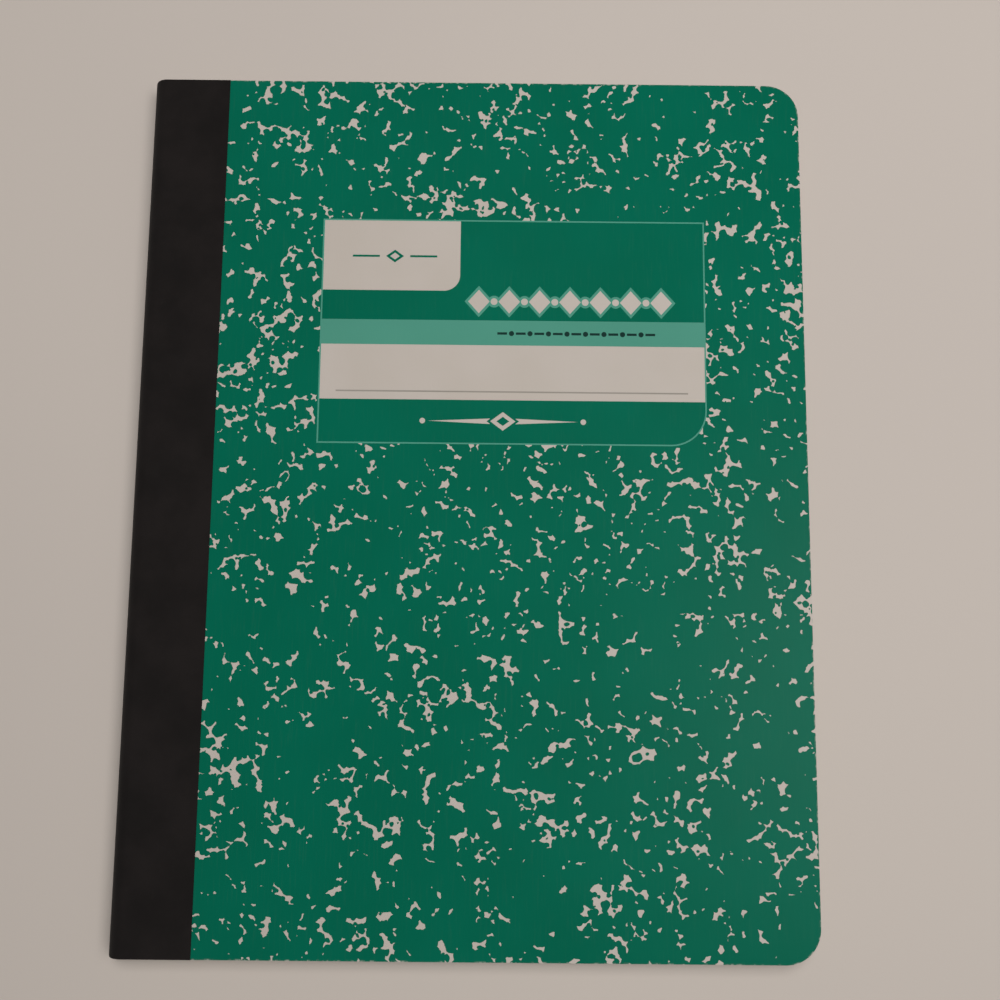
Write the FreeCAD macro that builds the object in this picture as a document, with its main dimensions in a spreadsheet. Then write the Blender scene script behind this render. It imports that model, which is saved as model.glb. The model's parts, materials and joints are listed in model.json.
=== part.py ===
import FreeCAD, Part
import Sketcher
import math
import os

# Composition notebook: one folded and sewn section of ruled leaves in a board cover with a tape spine.
#
# Frame: +Z up through the thickness with the front cover on top, +Y towards the head of the page, +X
# from the spine to the fore edge. The origin is on the surface that the closed notebook lies on, under
# the middle of its outline. All lengths are in millimetres.

# Sizes that are set by themselves, and sizes worked out from them.
DRIVING = {
    "cover_width": 190.5,
    "cover_length": 247.65,
    "leaf_count": 100,
    "leaf_thickness": 0.074,
    "board_thickness": 0.55,
    "tape_thickness": 0.2,
    "cover_gap": 0.05,
    "tape_reach": 23.0,
    "fore_corner_radius": 9.5,
    "spine_corner_radius": 1.2,
    "thread_width": 0.3,
    "stitch_width": 0.5,
    "thread_clearance": 0.03,
    "stitch_pitch": 8.5,
    "stitch_margin": 6.0,
}
DERIVED = {
    "pages_thickness": "leaf_count * leaf_thickness",
    "cover_layers": "cover_gap + board_thickness + tape_thickness",
    "closed_thickness": "pages_thickness + 2 * cover_layers",
    "mid_height": "closed_thickness / 2",
    "fore_edge": "cover_width / 2",
    "head_edge": "cover_length / 2",
    "tail_edge": "0 - head_edge",
    "fold_line": "mid_height - fore_edge",
    "tape_edge": "tape_reach - fore_edge",
    "back_board_bottom": "tape_thickness",
    "pages_bottom": "cover_layers",
    "pages_top": "pages_bottom + pages_thickness",
    "front_board_bottom": "pages_top + cover_gap",
    "front_board_top": "front_board_bottom + board_thickness",
    "spine_board_face": "tape_thickness - fore_edge",
    "run_channel": "thread_width + 2 * thread_clearance",
    "stitch_hole": "stitch_width + 2 * thread_clearance",
    "outer_run": "spine_board_face + run_channel / 2",
    "inner_run": "fold_line + run_channel / 2",
    "stitch_count": "floor((cover_length - 2 * stitch_margin) / stitch_pitch) + 1",
    "stitch_row": "(stitch_count - 1) * stitch_pitch",
    "first_stitch": "0 - stitch_row / 2",
}
# How far a cutting shape reaches past the stock that it cuts.
OVERCUT = 1.0
# The thread and its holes are drawn with this many flat sides.
THREAD_SIDES = 6

doc = FreeCAD.newDocument("CompositionNotebook")
sizes = doc.addObject("Spreadsheet::Sheet", "Sizes")


def fill_sheet():
    """Writes each size into a row of its own: its name, its value or formula, and its alias."""
    for row, (name, value) in enumerate({**DRIVING, **DERIVED}.items(), start=1):
        sizes.set(f"A{row}", name)
        sizes.set(f"B{row}", f"={value}" if name in DERIVED else str(value))
        sizes.setAlias(f"B{row}", name)
    doc.recompute()


def bound(formula):
    """The formula with each name in it pointed at the sheet."""
    words = formula.split(" ")
    names = {**DRIVING, **DERIVED}
    return " ".join(f"Sizes.{word}" if word in names else word for word in words)


def value_of(formula):
    """What a formula on the sheet's sizes comes to."""
    return float(sizes.evalExpression(bound(formula)))


def line_to(x, y):
    """A straight side of an outline, to the corner x, y."""
    return {"x": x, "y": y, "centre": None}


def arc_to(x, y, centre_x, centre_y, turn="left"):
    """A round side of an outline, to the corner x, y, that turns left or right about its centre."""
    return {"x": x, "y": y, "centre": (centre_x, centre_y), "turn": turn}


def new_body(label):
    """An empty body whose label names its file."""
    body = doc.addObject("PartDesign::Body", label)
    body.Label = label
    body.Placement = FreeCAD.Placement()
    return body


def new_sketch(body, plane, name, offset="0"):
    """A sketch on one of the body's origin planes, moved along that plane's normal by the offset."""
    sketch = body.newObject("Sketcher::SketchObject", f"{body.Label}_{name}")
    support = next(item for item in body.Origin.OriginFeatures if item.Role == plane)
    sketch.AttachmentSupport = (support, "")
    sketch.MapMode = "FlatFace"
    sketch.setExpression("AttachmentOffset.Base.z", bound(offset))
    doc.recompute()
    return sketch


def pin(sketch, geometry, point, x=None, y=None):
    """Ties a point of the sketch to formulas for its distance from the sketch's origin."""
    for kind, formula in (("DistanceX", x), ("DistanceY", y)):
        if formula is None:
            continue
        number = value_of(formula)
        index = sketch.addConstraint(Sketcher.Constraint(kind, -1, 1, geometry, point, number))
        sketch.setExpression(f"Constraints[{index}]", bound(formula))


def add_outline(sketch, sides):
    """Adds a closed outline of straight and round sides; the last side ends where the first begins."""
    ends = []
    previous = sides[-1]
    for side in sides:
        start = FreeCAD.Vector(value_of(previous["x"]), value_of(previous["y"]), 0)
        end = FreeCAD.Vector(value_of(side["x"]), value_of(side["y"]), 0)
        if side["centre"] is None:
            index = sketch.addGeometry(Part.LineSegment(start, end), False)
            ends.append((index, 1, 2))
        else:
            centre_x, centre_y = side["centre"]
            centre = FreeCAD.Vector(value_of(centre_x), value_of(centre_y), 0)
            left = side["turn"] == "left"
            low, high = (start, end) if left else (end, start)
            circle = Part.Circle(centre, FreeCAD.Vector(0, 0, 1), (low - centre).Length)
            arc = Part.ArcOfCircle(circle, circle.parameter(low), circle.parameter(high))
            index = sketch.addGeometry(arc, False)
            ends.append((index, 1, 2) if left else (index, 2, 1))
            pin(sketch, index, 3, x=centre_x)
        previous = side
    for number, side in enumerate(sides):
        index, _, last = ends[number]
        following, first, _ = ends[(number + 1) % len(sides)]
        sketch.addConstraint(Sketcher.Constraint("Coincident", index, last, following, first))
        pin(sketch, index, last, side["x"], side["y"])


def add_thread_section(sketch, x, y, width):
    """Adds the many-sided section of a thread or its hole, of a width across its corners, about x, y."""
    centre = FreeCAD.Vector(value_of(x), value_of(y), 0)
    radius = value_of(width) / 2
    ring = sketch.addGeometry(Part.Circle(centre, FreeCAD.Vector(0, 0, 1), radius), True)
    pin(sketch, ring, 3, x, y)
    size = sketch.addConstraint(Sketcher.Constraint("Diameter", ring, 2 * radius))
    sketch.setExpression(f"Constraints[{size}]", bound(width))
    turns = [2 * math.pi * corner / THREAD_SIDES for corner in range(THREAD_SIDES)]
    corners = [centre + FreeCAD.Vector(math.cos(turn), math.sin(turn), 0) * radius for turn in turns]
    sides = [
        sketch.addGeometry(Part.LineSegment(corner, corners[(number + 1) % THREAD_SIDES]), False)
        for number, corner in enumerate(corners)
    ]
    for number, side in enumerate(sides):
        sketch.addConstraint(Sketcher.Constraint("Coincident", side, 2, sides[(number + 1) % THREAD_SIDES], 1))
        sketch.addConstraint(Sketcher.Constraint("PointOnObject", side, 1, ring))
        if number > 0:
            sketch.addConstraint(Sketcher.Constraint("Equal", sides[0], side))
    sketch.addConstraint(Sketcher.Constraint("Horizontal", ring, 3, sides[0], 1))


def pad(body, sketch, length, both_ways=False, backwards=False):
    """Raises a solid from a sketch."""
    feature = body.newObject("PartDesign::Pad", f"{sketch.Label}_pad")
    feature.Profile = sketch
    feature.setExpression("Length", bound(length))
    feature.Midplane = both_ways
    feature.Reversed = backwards
    doc.recompute()
    return feature


def pocket(body, sketch, both_ways=False):
    """Cuts a sketch all the way through a body, both ways or against the sketch's normal."""
    before = body.Tip.Shape.Volume
    feature = body.newObject("PartDesign::Pocket", f"{sketch.Label}_pocket")
    feature.Profile = sketch
    feature.Type = "ThroughAll"
    feature.Midplane = both_ways
    doc.recompute()
    if feature.Shape.Volume >= before:
        raise RuntimeError(f"{feature.Label} cuts nothing")
    return feature


def repeat_stitches(body, feature):
    """Repeats a stitch's leg or hole along the spine, once for each stitch hole."""
    pattern = body.newObject("PartDesign::LinearPattern", f"{feature.Label}_row")
    pattern.Originals = [feature]
    along = next(item for item in body.Origin.OriginFeatures if item.Role == "Y_Axis")
    pattern.Direction = (along, [""])
    pattern.setExpression("Length", bound("stitch_row"))
    pattern.setExpression("Occurrences", bound("stitch_count"))
    body.Tip = pattern
    doc.recompute()
    return pattern


def round_corner(sketch, x_side, y_side, radius):
    """Adds the waste outside one rounded corner of the plan; x_side and y_side are 1 or -1."""
    edge_x = f"{x_side} * fore_edge"
    edge_y = f"{y_side} * head_edge"
    inner_x = f"{edge_x} - {x_side} * {radius}"
    inner_y = f"{edge_y} - {y_side} * {radius}"
    far_x = f"{edge_x} + {x_side * OVERCUT}"
    far_y = f"{edge_y} + {y_side * OVERCUT}"
    turn = "right" if x_side * y_side > 0 else "left"
    add_outline(sketch, [
        line_to(inner_x, edge_y),
        arc_to(edge_x, inner_y, inner_x, inner_y, turn),
        line_to(far_x, inner_y),
        line_to(far_x, far_y),
        line_to(inner_x, far_y),
    ])


def cut_plan_corners(body, radii):
    """Rounds the head and tail corners of a body, with a radius for the fore edge (1) and the spine (-1)."""
    sketch = new_sketch(body, "XY_Plane", "plan_corners")
    for x_side, radius in radii.items():
        for y_side in (1, -1):
            round_corner(sketch, x_side, y_side, radius)
    pocket(body, sketch, both_ways=True)


def bore_stitch_holes(body):
    """Bores the row of stitch holes through the fold, from the inner run of thread outwards."""
    sketch = new_sketch(body, "YZ_Plane", "stitch_hole", "inner_run + run_channel / 2")
    add_thread_section(sketch, "first_stitch", "mid_height", "stitch_hole")
    repeat_stitches(body, pocket(body, sketch))


def cut_thread_channel(body, name, left, right):
    """Cuts the channel of one run of thread along the spine, between two places across the width."""
    low = "mid_height - run_channel / 2"
    high = "mid_height + run_channel / 2"
    sketch = new_sketch(body, "XZ_Plane", name)
    add_outline(sketch, [
        line_to(left, low),
        line_to(right, low),
        line_to(right, high),
        line_to(left, high),
    ])
    pocket(body, sketch, both_ways=True)


def make_page_block():
    """The leaves: sheets nested in one another and folded once, so the spine side is a round fold."""
    body = new_body("page_block")
    section = new_sketch(body, "XZ_Plane", "section")
    add_outline(section, [
        line_to("fold_line", "pages_top"),
        arc_to("fold_line", "pages_bottom", "fold_line", "mid_height"),
        line_to("fore_edge", "pages_bottom"),
        line_to("fore_edge", "pages_top"),
    ])
    pad(body, section, "cover_length", both_ways=True)
    cut_plan_corners(body, {1: "fore_corner_radius", -1: "spine_corner_radius"})
    cut_thread_channel(body, "inner_run", "fold_line", "fold_line + run_channel")
    bore_stitch_holes(body)
    return body


def make_fold_shell(label, outer_low, outer_high, thickness):
    """A shell bent half round the fold between two heights on the fold line."""
    body = new_body(label)
    section = new_sketch(body, "XZ_Plane", "section")
    inner_low = f"{outer_low} + {thickness}"
    inner_high = f"{outer_high} - {thickness}"
    add_outline(section, [
        line_to("fold_line", outer_high),
        arc_to("fold_line", outer_low, "fold_line", "mid_height"),
        line_to("fold_line", inner_low),
        arc_to("fold_line", inner_high, "fold_line", "mid_height", "right"),
    ])
    pad(body, section, "cover_length", both_ways=True)
    cut_plan_corners(body, {-1: "spine_corner_radius"})
    return body


def make_cover_spine():
    """The middle of the cover board, bent round the fold, with the outer run of thread sunk in it."""
    body = make_fold_shell("cover_spine", "back_board_bottom", "front_board_top", "board_thickness")
    outside = f"spine_board_face - {OVERCUT}"
    cut_thread_channel(body, "outer_run", outside, "spine_board_face + run_channel")
    bore_stitch_holes(body)
    return body


def make_cover(label, underside):
    """A side of the cover board, flat from the fold line to the fore edge, with two round corners."""
    body = new_body(label)
    plan = new_sketch(body, "XY_Plane", "plan", underside)
    across = "fore_edge - fore_corner_radius"
    low = "tail_edge + fore_corner_radius"
    high = "head_edge - fore_corner_radius"
    add_outline(plan, [
        line_to("fold_line", "tail_edge"),
        line_to(across, "tail_edge"),
        arc_to("fore_edge", low, across, low),
        line_to("fore_edge", high),
        arc_to(across, "head_edge", across, high),
        line_to("fold_line", "head_edge"),
    ])
    pad(body, plan, "board_thickness")
    return body


def make_tape_flap(label, underside):
    """The flat part of the binding tape that is glued down on one side of the cover."""
    body = new_body(label)
    plan = new_sketch(body, "XY_Plane", "plan", underside)
    add_outline(plan, [
        line_to("fold_line", "tail_edge"),
        line_to("tape_edge", "tail_edge"),
        line_to("tape_edge", "head_edge"),
        line_to("fold_line", "head_edge"),
    ])
    pad(body, plan, "tape_thickness")
    return body


def make_sewing_thread():
    """A line of lock stitches: a run inside the fold, a run outside it and a double strand at each hole."""
    body = new_body("sewing_thread")
    inside = new_sketch(body, "XZ_Plane", "inner_run")
    add_thread_section(inside, "inner_run", "mid_height", "thread_width")
    pad(body, inside, "cover_length", both_ways=True)
    leg = new_sketch(body, "YZ_Plane", "leg", "inner_run")
    add_thread_section(leg, "first_stitch", "mid_height", "stitch_width")
    repeat_stitches(body, pad(body, leg, "inner_run - outer_run", backwards=True))
    outside = new_sketch(body, "XZ_Plane", "outer_run")
    add_thread_section(outside, "outer_run", "mid_height", "thread_width")
    pad(body, outside, "cover_length - 2 * spine_corner_radius", both_ways=True)
    return body


fill_sheet()
notebook = [
    make_page_block(),
    make_sewing_thread(),
    make_cover_spine(),
    make_cover("front_cover", "front_board_bottom"),
    make_cover("back_cover", "back_board_bottom"),
    make_fold_shell("spine_tape", "0", "closed_thickness", "tape_thickness"),
    make_tape_flap("front_tape", "front_board_top"),
    make_tape_flap("back_tape", "0"),
]
doc.recompute()

# Nothing is written unless every object and every shape is sound.
for item in doc.Objects:
    if "Invalid" in item.State or "Error" in item.State:
        raise RuntimeError(f"{item.Label} did not compute: {item.State}")
for body in notebook:
    if body.Shape.isNull() or not body.Shape.isValid():
        raise RuntimeError(f"{body.Label} has no sound shape")
    if len(body.Shape.Solids) != 1:
        raise RuntimeError(f"{body.Label} is not one solid")

os.makedirs("parts", exist_ok=True)
for body in notebook:
    body.Shape.exportStep(f"parts/{body.Label}.step")
    box = body.Shape.BoundBox
    print(f"{body.Label}: {body.Shape.Volume:.1f} mm3, "
          f"x {box.XMin:.3f} to {box.XMax:.3f}, y {box.YMin:.3f} to {box.YMax:.3f}, "
          f"z {box.ZMin:.3f} to {box.ZMax:.3f}, {len(body.Shape.Faces)} faces")
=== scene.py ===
import json
import logging
import math
from dataclasses import dataclass, field
from enum import Enum
from functools import cached_property
from typing import Mapping, Sequence

import bpy
import numpy as np
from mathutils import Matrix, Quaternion, Vector
from mathutils.geometry import delaunay_2d_cdt

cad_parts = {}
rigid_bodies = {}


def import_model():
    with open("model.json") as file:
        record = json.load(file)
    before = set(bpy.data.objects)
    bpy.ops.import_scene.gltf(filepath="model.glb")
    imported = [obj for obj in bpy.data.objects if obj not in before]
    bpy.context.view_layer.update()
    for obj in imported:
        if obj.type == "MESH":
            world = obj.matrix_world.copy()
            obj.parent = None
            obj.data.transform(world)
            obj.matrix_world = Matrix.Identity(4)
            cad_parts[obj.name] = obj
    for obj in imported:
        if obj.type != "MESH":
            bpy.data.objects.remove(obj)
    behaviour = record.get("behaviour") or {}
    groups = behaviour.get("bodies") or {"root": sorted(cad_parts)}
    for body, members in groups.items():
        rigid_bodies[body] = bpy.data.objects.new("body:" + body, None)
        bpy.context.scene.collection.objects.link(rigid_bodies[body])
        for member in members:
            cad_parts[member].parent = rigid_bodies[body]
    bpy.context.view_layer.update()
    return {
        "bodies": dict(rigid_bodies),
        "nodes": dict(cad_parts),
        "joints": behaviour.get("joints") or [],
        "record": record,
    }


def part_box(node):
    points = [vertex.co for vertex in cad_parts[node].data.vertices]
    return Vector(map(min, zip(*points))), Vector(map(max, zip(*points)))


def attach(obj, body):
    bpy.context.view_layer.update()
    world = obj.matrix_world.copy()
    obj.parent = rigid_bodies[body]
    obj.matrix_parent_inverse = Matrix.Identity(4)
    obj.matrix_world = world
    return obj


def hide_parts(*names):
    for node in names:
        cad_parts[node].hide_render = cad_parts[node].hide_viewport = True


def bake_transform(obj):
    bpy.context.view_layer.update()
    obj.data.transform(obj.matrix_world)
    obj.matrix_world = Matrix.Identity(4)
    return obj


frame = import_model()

# A sewn notebook with marbled board covers and a cloth-grained paper tape over its spine.
# Sizes in the classes are in millimetres, in the frame's axes: the spine lies along Y at the low X
# side, the head is at high Y and the front cover faces up. Meshes are made in metres.

LOG = logging.getLogger("notebook")
MM = 0.001
PLAN_MAP = "Plan"
BAKE_MAP = "OFBake"
# Faces that would share a place on the flattened sheet are set apart by these lengths.
LINING_SHIFT = 700.0
LAST_LEAF_SHIFT = 500.0
FOLD_SHIFT = 300.0
# How many sides a quarter of a printed round corner and a whole printed spot have.
QUARTER_SIDES = 12
SPOT_SIDES = 28

Point2 = tuple[float, float]
Point3 = tuple[float, float, float]
Colour = tuple[float, float, float, float]


def tone(red: float, green: float, blue: float) -> Colour:
    """A colour for a shader.

    Args:
        red: Screen value, 0 to 255.
        green: Screen value, 0 to 255.
        blue: Screen value, 0 to 255.

    Returns:
        The same colour in linear light, with full alpha.
    """

    def linear(value: float) -> float:
        """One channel from its screen value."""
        share = value / 255
        return share / 12.92 if share <= 0.04045 else ((share + 0.055) / 1.055) ** 2.4

    return linear(red), linear(green), linear(blue), 1.0


class Value:
    """A number that varies over a surface, for use in Python expressions."""

    def __init__(self, bench: "Bench", socket: bpy.types.NodeSocket) -> None:
        """Keeps the socket and the bench that made it."""
        self.bench = bench
        self.socket = socket

    def _maths(self, operation: str, first: object, second: object) -> "Value":
        """One Math node on two values."""
        return self.bench.node("ShaderNodeMath", {"operation": operation}, {0: first, 1: second})

    def __add__(self, other: object) -> "Value":
        """self + other"""
        return self._maths("ADD", self, other)

    def __radd__(self, other: object) -> "Value":
        """other + self"""
        return self._maths("ADD", other, self)

    def __sub__(self, other: object) -> "Value":
        """self - other"""
        return self._maths("SUBTRACT", self, other)

    def __rsub__(self, other: object) -> "Value":
        """other - self"""
        return self._maths("SUBTRACT", other, self)

    def __mul__(self, other: object) -> "Value":
        """self * other"""
        return self._maths("MULTIPLY", self, other)

    def __rmul__(self, other: object) -> "Value":
        """other * self"""
        return self._maths("MULTIPLY", other, self)

    def __abs__(self) -> "Value":
        """abs(self)"""
        return self._maths("ABSOLUTE", self, 0.0)

    def __pow__(self, other: object) -> "Value":
        """self ** other"""
        return self._maths("POWER", self, other)

    def at_least(self, other: object) -> "Value":
        """The larger of this and another value."""
        return self._maths("MAXIMUM", self, other)

    def at_most(self, other: object) -> "Value":
        """The smaller of this and another value."""
        return self._maths("MINIMUM", self, other)


class Bench:
    """The node tree of one material or world, built up from expressions."""

    def __init__(self, name: str, shelf: bpy.types.bpy_prop_collection | None = None) -> None:
        """Starts an empty tree.

        Args:
            name: The name of the material or world.
            shelf: The collection that it is made in, the materials where none is given.
        """
        self.owner = (bpy.data.materials if shelf is None else shelf).new(name)
        self.owner.use_nodes = True
        self.tree = self.owner.node_tree
        self.tree.nodes.clear()

    def node(
        self,
        kind: str,
        settings: Mapping[str, object] | None = None,
        inputs: Mapping[int | str, object] | None = None,
        output: int | str = 0,
    ) -> Value:
        """Makes any node.

        Args:
            kind: The node's type name.
            settings: Its properties, set before anything else.
            inputs: Values or links, by the socket's place or name.
            output: The output socket to hand back, by its place or name.

        Returns:
            That output, or the node's last input where it has no output.
        """
        made = self.tree.nodes.new(kind)
        for key, value in (settings or {}).items():
            setattr(made, key, value)
        for key, value in (inputs or {}).items():
            socket = made.inputs[key]
            if isinstance(value, Value):
                self.tree.links.new(value.socket, socket)
            else:
                socket.default_value = value
        return Value(self, made.outputs[output] if len(made.outputs) else made.inputs[-1])

    def plan(self, along_x: float = 1.0, along_y: float = 1.0, shift: float = 0.0) -> Value:
        """The place on the flattened sheet, in millimetres.

        Args:
            along_x: How much the place is stretched across the sheet.
            along_y: How much it is stretched along the spine.
            shift: An offset into the third direction, so that two patterns differ.

        Returns:
            A vector for a texture node.
        """
        place = self.node("ShaderNodeUVMap", {"uv_map": PLAN_MAP})
        return self.node(
            "ShaderNodeVectorMath",
            {"operation": "MULTIPLY_ADD"},
            {0: place, 1: (along_x / MM, along_y / MM, 1.0), 2: (0.0, 0.0, shift)},
        )

    def coordinate(self, axis: int) -> Value:
        """One coordinate of the place on the flattened sheet, in millimetres."""
        return self.node("ShaderNodeSeparateXYZ", {}, {0: self.plan()}, axis)

    def noise(self, place: Value, pitch: float, detail: float = 2.0, rough: float = 0.5) -> Value:
        """Soft noise from 0 to 1.

        Args:
            place: Where on the sheet, in millimetres.
            pitch: The size of its largest features, in millimetres.
            detail: How many finer layers it has.
            rough: How strong the finer layers are.

        Returns:
            The noise.
        """
        inputs = {"Vector": place, "Scale": 1 / pitch, "Detail": detail, "Roughness": rough}
        return self.node("ShaderNodeTexNoise", {"noise_dimensions": "3D"}, inputs)

    def cells(self, place: Value, pitch: float) -> Value:
        """Distances within a field of irregular cells, in parts of a cell."""
        return self.node("ShaderNodeTexVoronoi", {}, {"Vector": place, "Scale": 1 / pitch})

    def between(
        self, value: Value, low: float, high: float, start: float = 0.0, end: float = 1.0
    ) -> Value:
        """Goes smoothly from start, where the value is low, to end, where it is high."""
        inputs = {0: value, 1: low, 2: high, 3: start, 4: end}
        return self.node("ShaderNodeMapRange", {"interpolation_type": "SMOOTHSTEP"}, inputs)

    def blend(self, share: object, first: object, second: object) -> Value:
        """A colour part of the way from the first to the second."""
        settings = {"data_type": "RGBA", "clamp_factor": True}
        return self.node("ShaderNodeMix", settings, {0: share, 6: first, 7: second}, 2)

    def bump(self, height: Value, depth: float, over: Value | None = None) -> Value:
        """A surface normal from a height.

        Args:
            height: The height, from 0 to 1.
            depth: How much a height of 1 is, in millimetres.
            over: The normal of a finer relief on top of this one.

        Returns:
            The normal.
        """
        inputs = {"Height": height, "Distance": depth * MM}
        if over is not None:
            inputs["Normal"] = over
        return self.node("ShaderNodeBump", {}, inputs)

    def finish(self, **inputs: object) -> bpy.types.Material:
        """Closes the material.

        Args:
            inputs: What the surface shader takes, with underscores for the spaces in a name.

        Returns:
            The material.
        """
        sockets = {key.replace("_", " "): value for key, value in inputs.items()}
        surface = self.node("ShaderNodeBsdfPrincipled", {}, sockets)
        self.node("ShaderNodeOutputMaterial", {}, {"Surface": surface})
        return self.owner


@dataclass(frozen=True)
class PrintedInk:
    """Ink under a thin satin varnish on the cover board."""

    name: str
    colour: Colour
    deep: Colour
    bare: Colour = tone(176, 172, 162)
    gloss: float = 0.1
    gloss_roughness: float = 0.33

    def material(self, outline: "PlanOutline") -> bpy.types.Material:
        """Builds the ink.

        Args:
            outline: The trimmed edge, along which the ink is rubbed.

        Returns:
            The material.
        """
        bench = Bench(self.name)
        drift = bench.noise(bench.plan(), pitch=38.0, detail=3.0)
        fibre = bench.noise(bench.plan(along_y=0.05, shift=7.0), pitch=0.5, detail=3.0, rough=0.6)
        speck = bench.noise(bench.plan(shift=3.0), pitch=0.35)
        colour = bench.blend(bench.between(drift, 0.3, 0.7), self.deep, self.colour)
        colour = bench.blend(bench.between(fibre, 0.5, 0.8) * 0.012, colour, self.bare)
        rubbed = self._rubbed(bench, outline)
        colour = bench.blend(rubbed, colour, self.bare)
        roughness = self.gloss_roughness + 0.08 * (speck - 0.5) + 0.06 * (drift - 0.5) + 0.2 * rubbed
        wave = bench.noise(bench.plan(along_y=0.6, shift=5.0), pitch=26.0, detail=1.0)
        near = bench.bump(0.6 * fibre + 0.4 * speck, depth=0.012)
        normal = bench.bump(wave, depth=0.16, over=near)
        return bench.finish(
            Base_Color=colour, Roughness=roughness, Normal=normal, Specular_IOR_Level=self.gloss
        )

    @staticmethod
    def _rubbed(bench: Bench, outline: "PlanOutline") -> Value:
        """How far the ink is rubbed off close to the trimmed edge, from 0 to 1."""
        over_x = bench.coordinate(0) - (outline.fore_x - outline.fore_radius)
        over_y = abs(bench.coordinate(1)) - (outline.half_length - outline.fore_radius)
        corner = (over_x.at_least(0.0) ** 2.0 + over_y.at_least(0.0) ** 2.0) ** 0.5
        inner = over_x.at_least(over_y).at_most(0.0)
        from_edge = outline.fore_radius - (corner + inner)
        wear = bench.noise(bench.plan(shift=11.0), pitch=1.6, detail=3.0, rough=0.7)
        return (1.0 - bench.between(from_edge, 0.05, 0.45)) * bench.between(wear, 0.5, 0.68) * 0.7


@dataclass(frozen=True)
class CoatedBoard:
    """The pale outer face of the cover board, where it shows through the print."""

    name: str = "board_face"
    colour: Colour = tone(183, 173, 164)
    warm: Colour = tone(180, 170, 160)
    dull: Colour = tone(160, 148, 134)

    def material(self) -> bpy.types.Material:
        """Builds the coated face."""
        bench = Bench(self.name)
        drift = bench.noise(bench.plan(), pitch=24.0, detail=3.0)
        fibre = bench.noise(bench.plan(along_y=0.3, shift=4.0), pitch=0.5, detail=3.0, rough=0.6)
        colour = bench.blend(bench.between(drift, 0.3, 0.7), self.warm, self.colour)
        colour = bench.blend(bench.between(fibre, 0.55, 0.8) * 0.08, colour, self.dull)
        roughness = 0.5 + 0.12 * (fibre - 0.5)
        return bench.finish(
            Base_Color=colour, Roughness=roughness, Normal=bench.bump(fibre, depth=0.012)
        )


@dataclass(frozen=True)
class InnerBoard:
    """The plain uncoated inner face of the cover board."""

    name: str = "board_lining"
    colour: Colour = tone(206, 201, 191)
    warm: Colour = tone(203, 197, 186)
    dull: Colour = tone(184, 173, 157)
    speck: Colour = tone(140, 126, 108)

    def material(self) -> bpy.types.Material:
        """Builds the lining."""
        bench = Bench(self.name)
        cloud = bench.noise(bench.plan(), pitch=9.0, detail=4.0, rough=0.6)
        drawn = bench.plan(along_x=0.4, along_y=2.2, shift=2.0)
        fibre = bench.noise(drawn, pitch=1.1, detail=4.0, rough=0.65)
        fleck = bench.between(bench.cells(bench.plan(), pitch=2.4), 0.02, 0.09)
        colour = bench.blend(bench.between(cloud, 0.3, 0.7), self.warm, self.colour)
        colour = bench.blend(bench.between(fibre, 0.55, 0.75) * 0.12, colour, self.dull)
        colour = bench.blend((1.0 - fleck) * 0.35, colour, self.speck)
        height = 0.7 * fibre + 0.3 * cloud
        return bench.finish(
            Base_Color=colour, Roughness=0.78 + 0.1 * (fibre - 0.5), Normal=bench.bump(height, depth=0.03)
        )


@dataclass(frozen=True)
class BoardCore:
    """The cut edge of the cover board, with its pressed layers."""

    name: str = "board_core"
    colour: Colour = tone(186, 180, 168)
    grey: Colour = tone(150, 143, 131)

    def material(self) -> bpy.types.Material:
        """Builds the cut edge."""
        bench = Bench(self.name)
        layer = bench.noise(bench.plan(along_x=0.12), pitch=0.12, detail=3.0, rough=0.6)
        crumb = bench.noise(bench.plan(shift=5.0), pitch=0.3, detail=3.0, rough=0.7)
        colour = bench.blend(bench.between(0.6 * layer + 0.4 * crumb, 0.35, 0.65), self.grey, self.colour)
        return bench.finish(
            Base_Color=colour, Roughness=0.85 + 0.1 * (crumb - 0.5), Normal=bench.bump(layer, depth=0.03)
        )


@dataclass(frozen=True)
class GrainedTape:
    """Black binding tape: paper pressed with a fine cloth grain."""

    name: str = "binding_tape"
    colour: Colour = tone(22, 19, 18)
    brown: Colour = tone(29, 25, 24)
    scuffed: Colour = tone(58, 54, 50)

    def material(self) -> bpy.types.Material:
        """Builds the tape."""
        bench = Bench(self.name)
        drift = bench.noise(bench.plan(), pitch=17.0, detail=4.0, rough=0.6)
        across = bench.noise(bench.plan(along_y=0.35, shift=1.0), pitch=0.42)
        along = bench.noise(bench.plan(along_x=0.35, shift=9.0), pitch=0.42)
        pebble = bench.cells(bench.plan(), pitch=0.62)
        grain = 0.35 * across + 0.35 * along + 0.3 * pebble
        colour = bench.blend(bench.between(drift, 0.3, 0.7), self.colour, self.brown)
        scuff = bench.noise(bench.plan(along_y=0.5, shift=13.0), pitch=2.6, detail=5.0, rough=0.7)
        rub = bench.between(scuff, 0.62, 0.8) * bench.between(grain, 0.4, 0.6) * 0.3
        colour = bench.blend(rub, colour, self.scuffed)
        roughness = 0.62 + 0.16 * (drift - 0.5) - 0.12 * (grain - 0.5)
        return bench.finish(
            Base_Color=colour,
            Roughness=roughness,
            Normal=bench.bump(grain, depth=0.045),
            Specular_IOR_Level=0.2,
        )


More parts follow.
